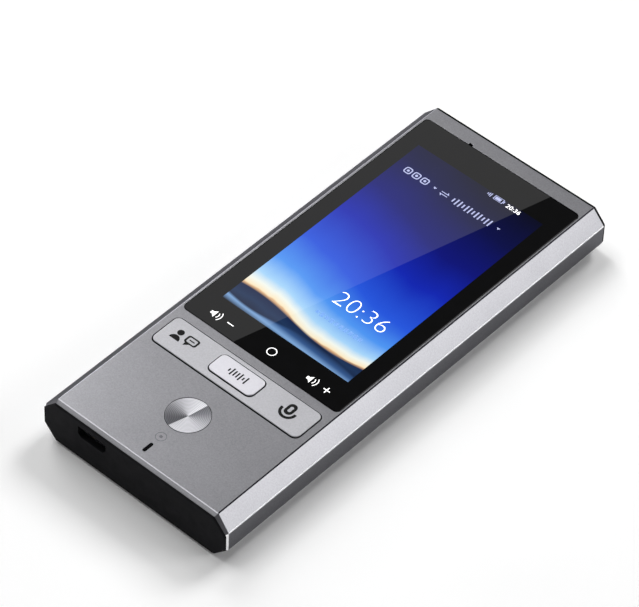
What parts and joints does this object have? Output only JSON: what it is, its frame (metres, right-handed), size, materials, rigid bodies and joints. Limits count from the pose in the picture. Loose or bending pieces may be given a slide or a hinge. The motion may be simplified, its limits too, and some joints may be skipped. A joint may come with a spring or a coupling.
{
  "type": "handheld translator",
  "caption": "Slim bar-shaped handheld translator with an eight-sided metal sleeve, black end caps, flush glass display, rocker key bar, talk key and round power key.",
  "frame": {"origin": "centre of the back face, on the surface that the device lies on", "axes": "+X to the right of someone reading the display, +Y along the body to the end away from them, +Z out of the display"},
  "size_m": [0.0506, 0.119, 0.0125],
  "materials": {
    "sleeve_metal": "fine blasted, satin grey anodised",
    "cap_plastic": "fine textured black",
    "cover_glass": "polished, black border printed underneath",
    "black_adhesive": "foam adhesive",
    "lit_display": "lit colour display",
    "white_plastic": "diffuse white",
    "flex_film": "amber film",
    "chassis_metal": "stamped, plain",
    "battery_wrap": "satin pouch",
    "tape": "paper tape",
    "black_foam": "closed-cell foam",
    "board_green": "solder mask",
    "screw_steel": "plain steel",
    "tinned_steel": "tinned sheet",
    "chip_black": "moulded package",
    "tongue_plastic": "moulded black",
    "switch_metal": "plain stamped",
    "plunger_plastic": "moulded",
    "frame_plastic": "moulded glass-filled",
    "key_bar_metal": "fine blasted, light silver",
    "talk_key_metal": "fine blasted, bright silver",
    "spun_metal": "spun with fine concentric lines",
    "microphone_brass": "gilt",
    "boot_rubber": "moulded",
    "speaker_plastic": "moulded",
    "mesh_steel": "blackened woven mesh"
  },
  "bodies": {
    "case": {"housing": "sleeve_metal", "bottom_cap": "cap_plastic", "top_cap": "cap_plastic", "cover_glass": "cover_glass", "glass_adhesive": "black_adhesive", "display_panel": "lit_display", "backlight": "white_plastic", "display_flex": "flex_film", "chassis_plate": "chassis_metal", "battery": "battery_wrap", "battery_tape": "tape", "battery_pad": "black_foam", "battery_lead": "flex_film", "main_board": "board_green", "board_screws": "screw_steel", "shield_can": "tinned_steel", "processor": "chip_black", "memory_chip": "chip_black", "usb_shell": "tinned_steel", "usb_tongue": "tongue_plastic", "rocker_switches": "switch_metal", "talk_switch": "switch_metal", "power_switch": "switch_metal", "key_frame": "frame_plastic", "slot_insert": "cap_plastic", "front_microphone": "microphone_brass", "front_mic_boot": "boot_rubber", "top_board": "board_green", "top_microphone": "microphone_brass", "top_mic_boot": "boot_rubber", "antenna": "flex_film", "link_flex": "flex_film", "speaker": "speaker_plastic", "speaker_gasket": "black_foam", "speaker_mesh": "mesh_steel", "speaker_contacts": "microphone_brass"},
    "rocker": {"key_bar": "key_bar_metal", "rocker_plungers": "plunger_plastic"},
    "talk": {"talk_key": "talk_key_metal", "talk_plunger": "plunger_plastic"},
    "power": {"power_key": "spun_metal", "power_plunger": "plunger_plastic"}
  },
  "joints": [
    {"name": "rocker_tilt", "type": "hinge", "parent": "case", "child": "rocker", "pos_m": [0, -0.02915, 0.00975], "axis": [0, 1, 0], "range_deg": [-1.2, 1.2], "stiffness_Nm_per_rad": 0.5},
    {"name": "talk_press", "type": "slide", "parent": "case", "child": "talk", "axis": [0, 0, -1], "range_m": [0, 0.0004], "stiffness_N_per_m": 3000},
    {"name": "power_press", "type": "slide", "parent": "case", "child": "power", "axis": [0, 0, -1], "range_m": [0, 0.0004], "stiffness_N_per_m": 3000}
  ]
}
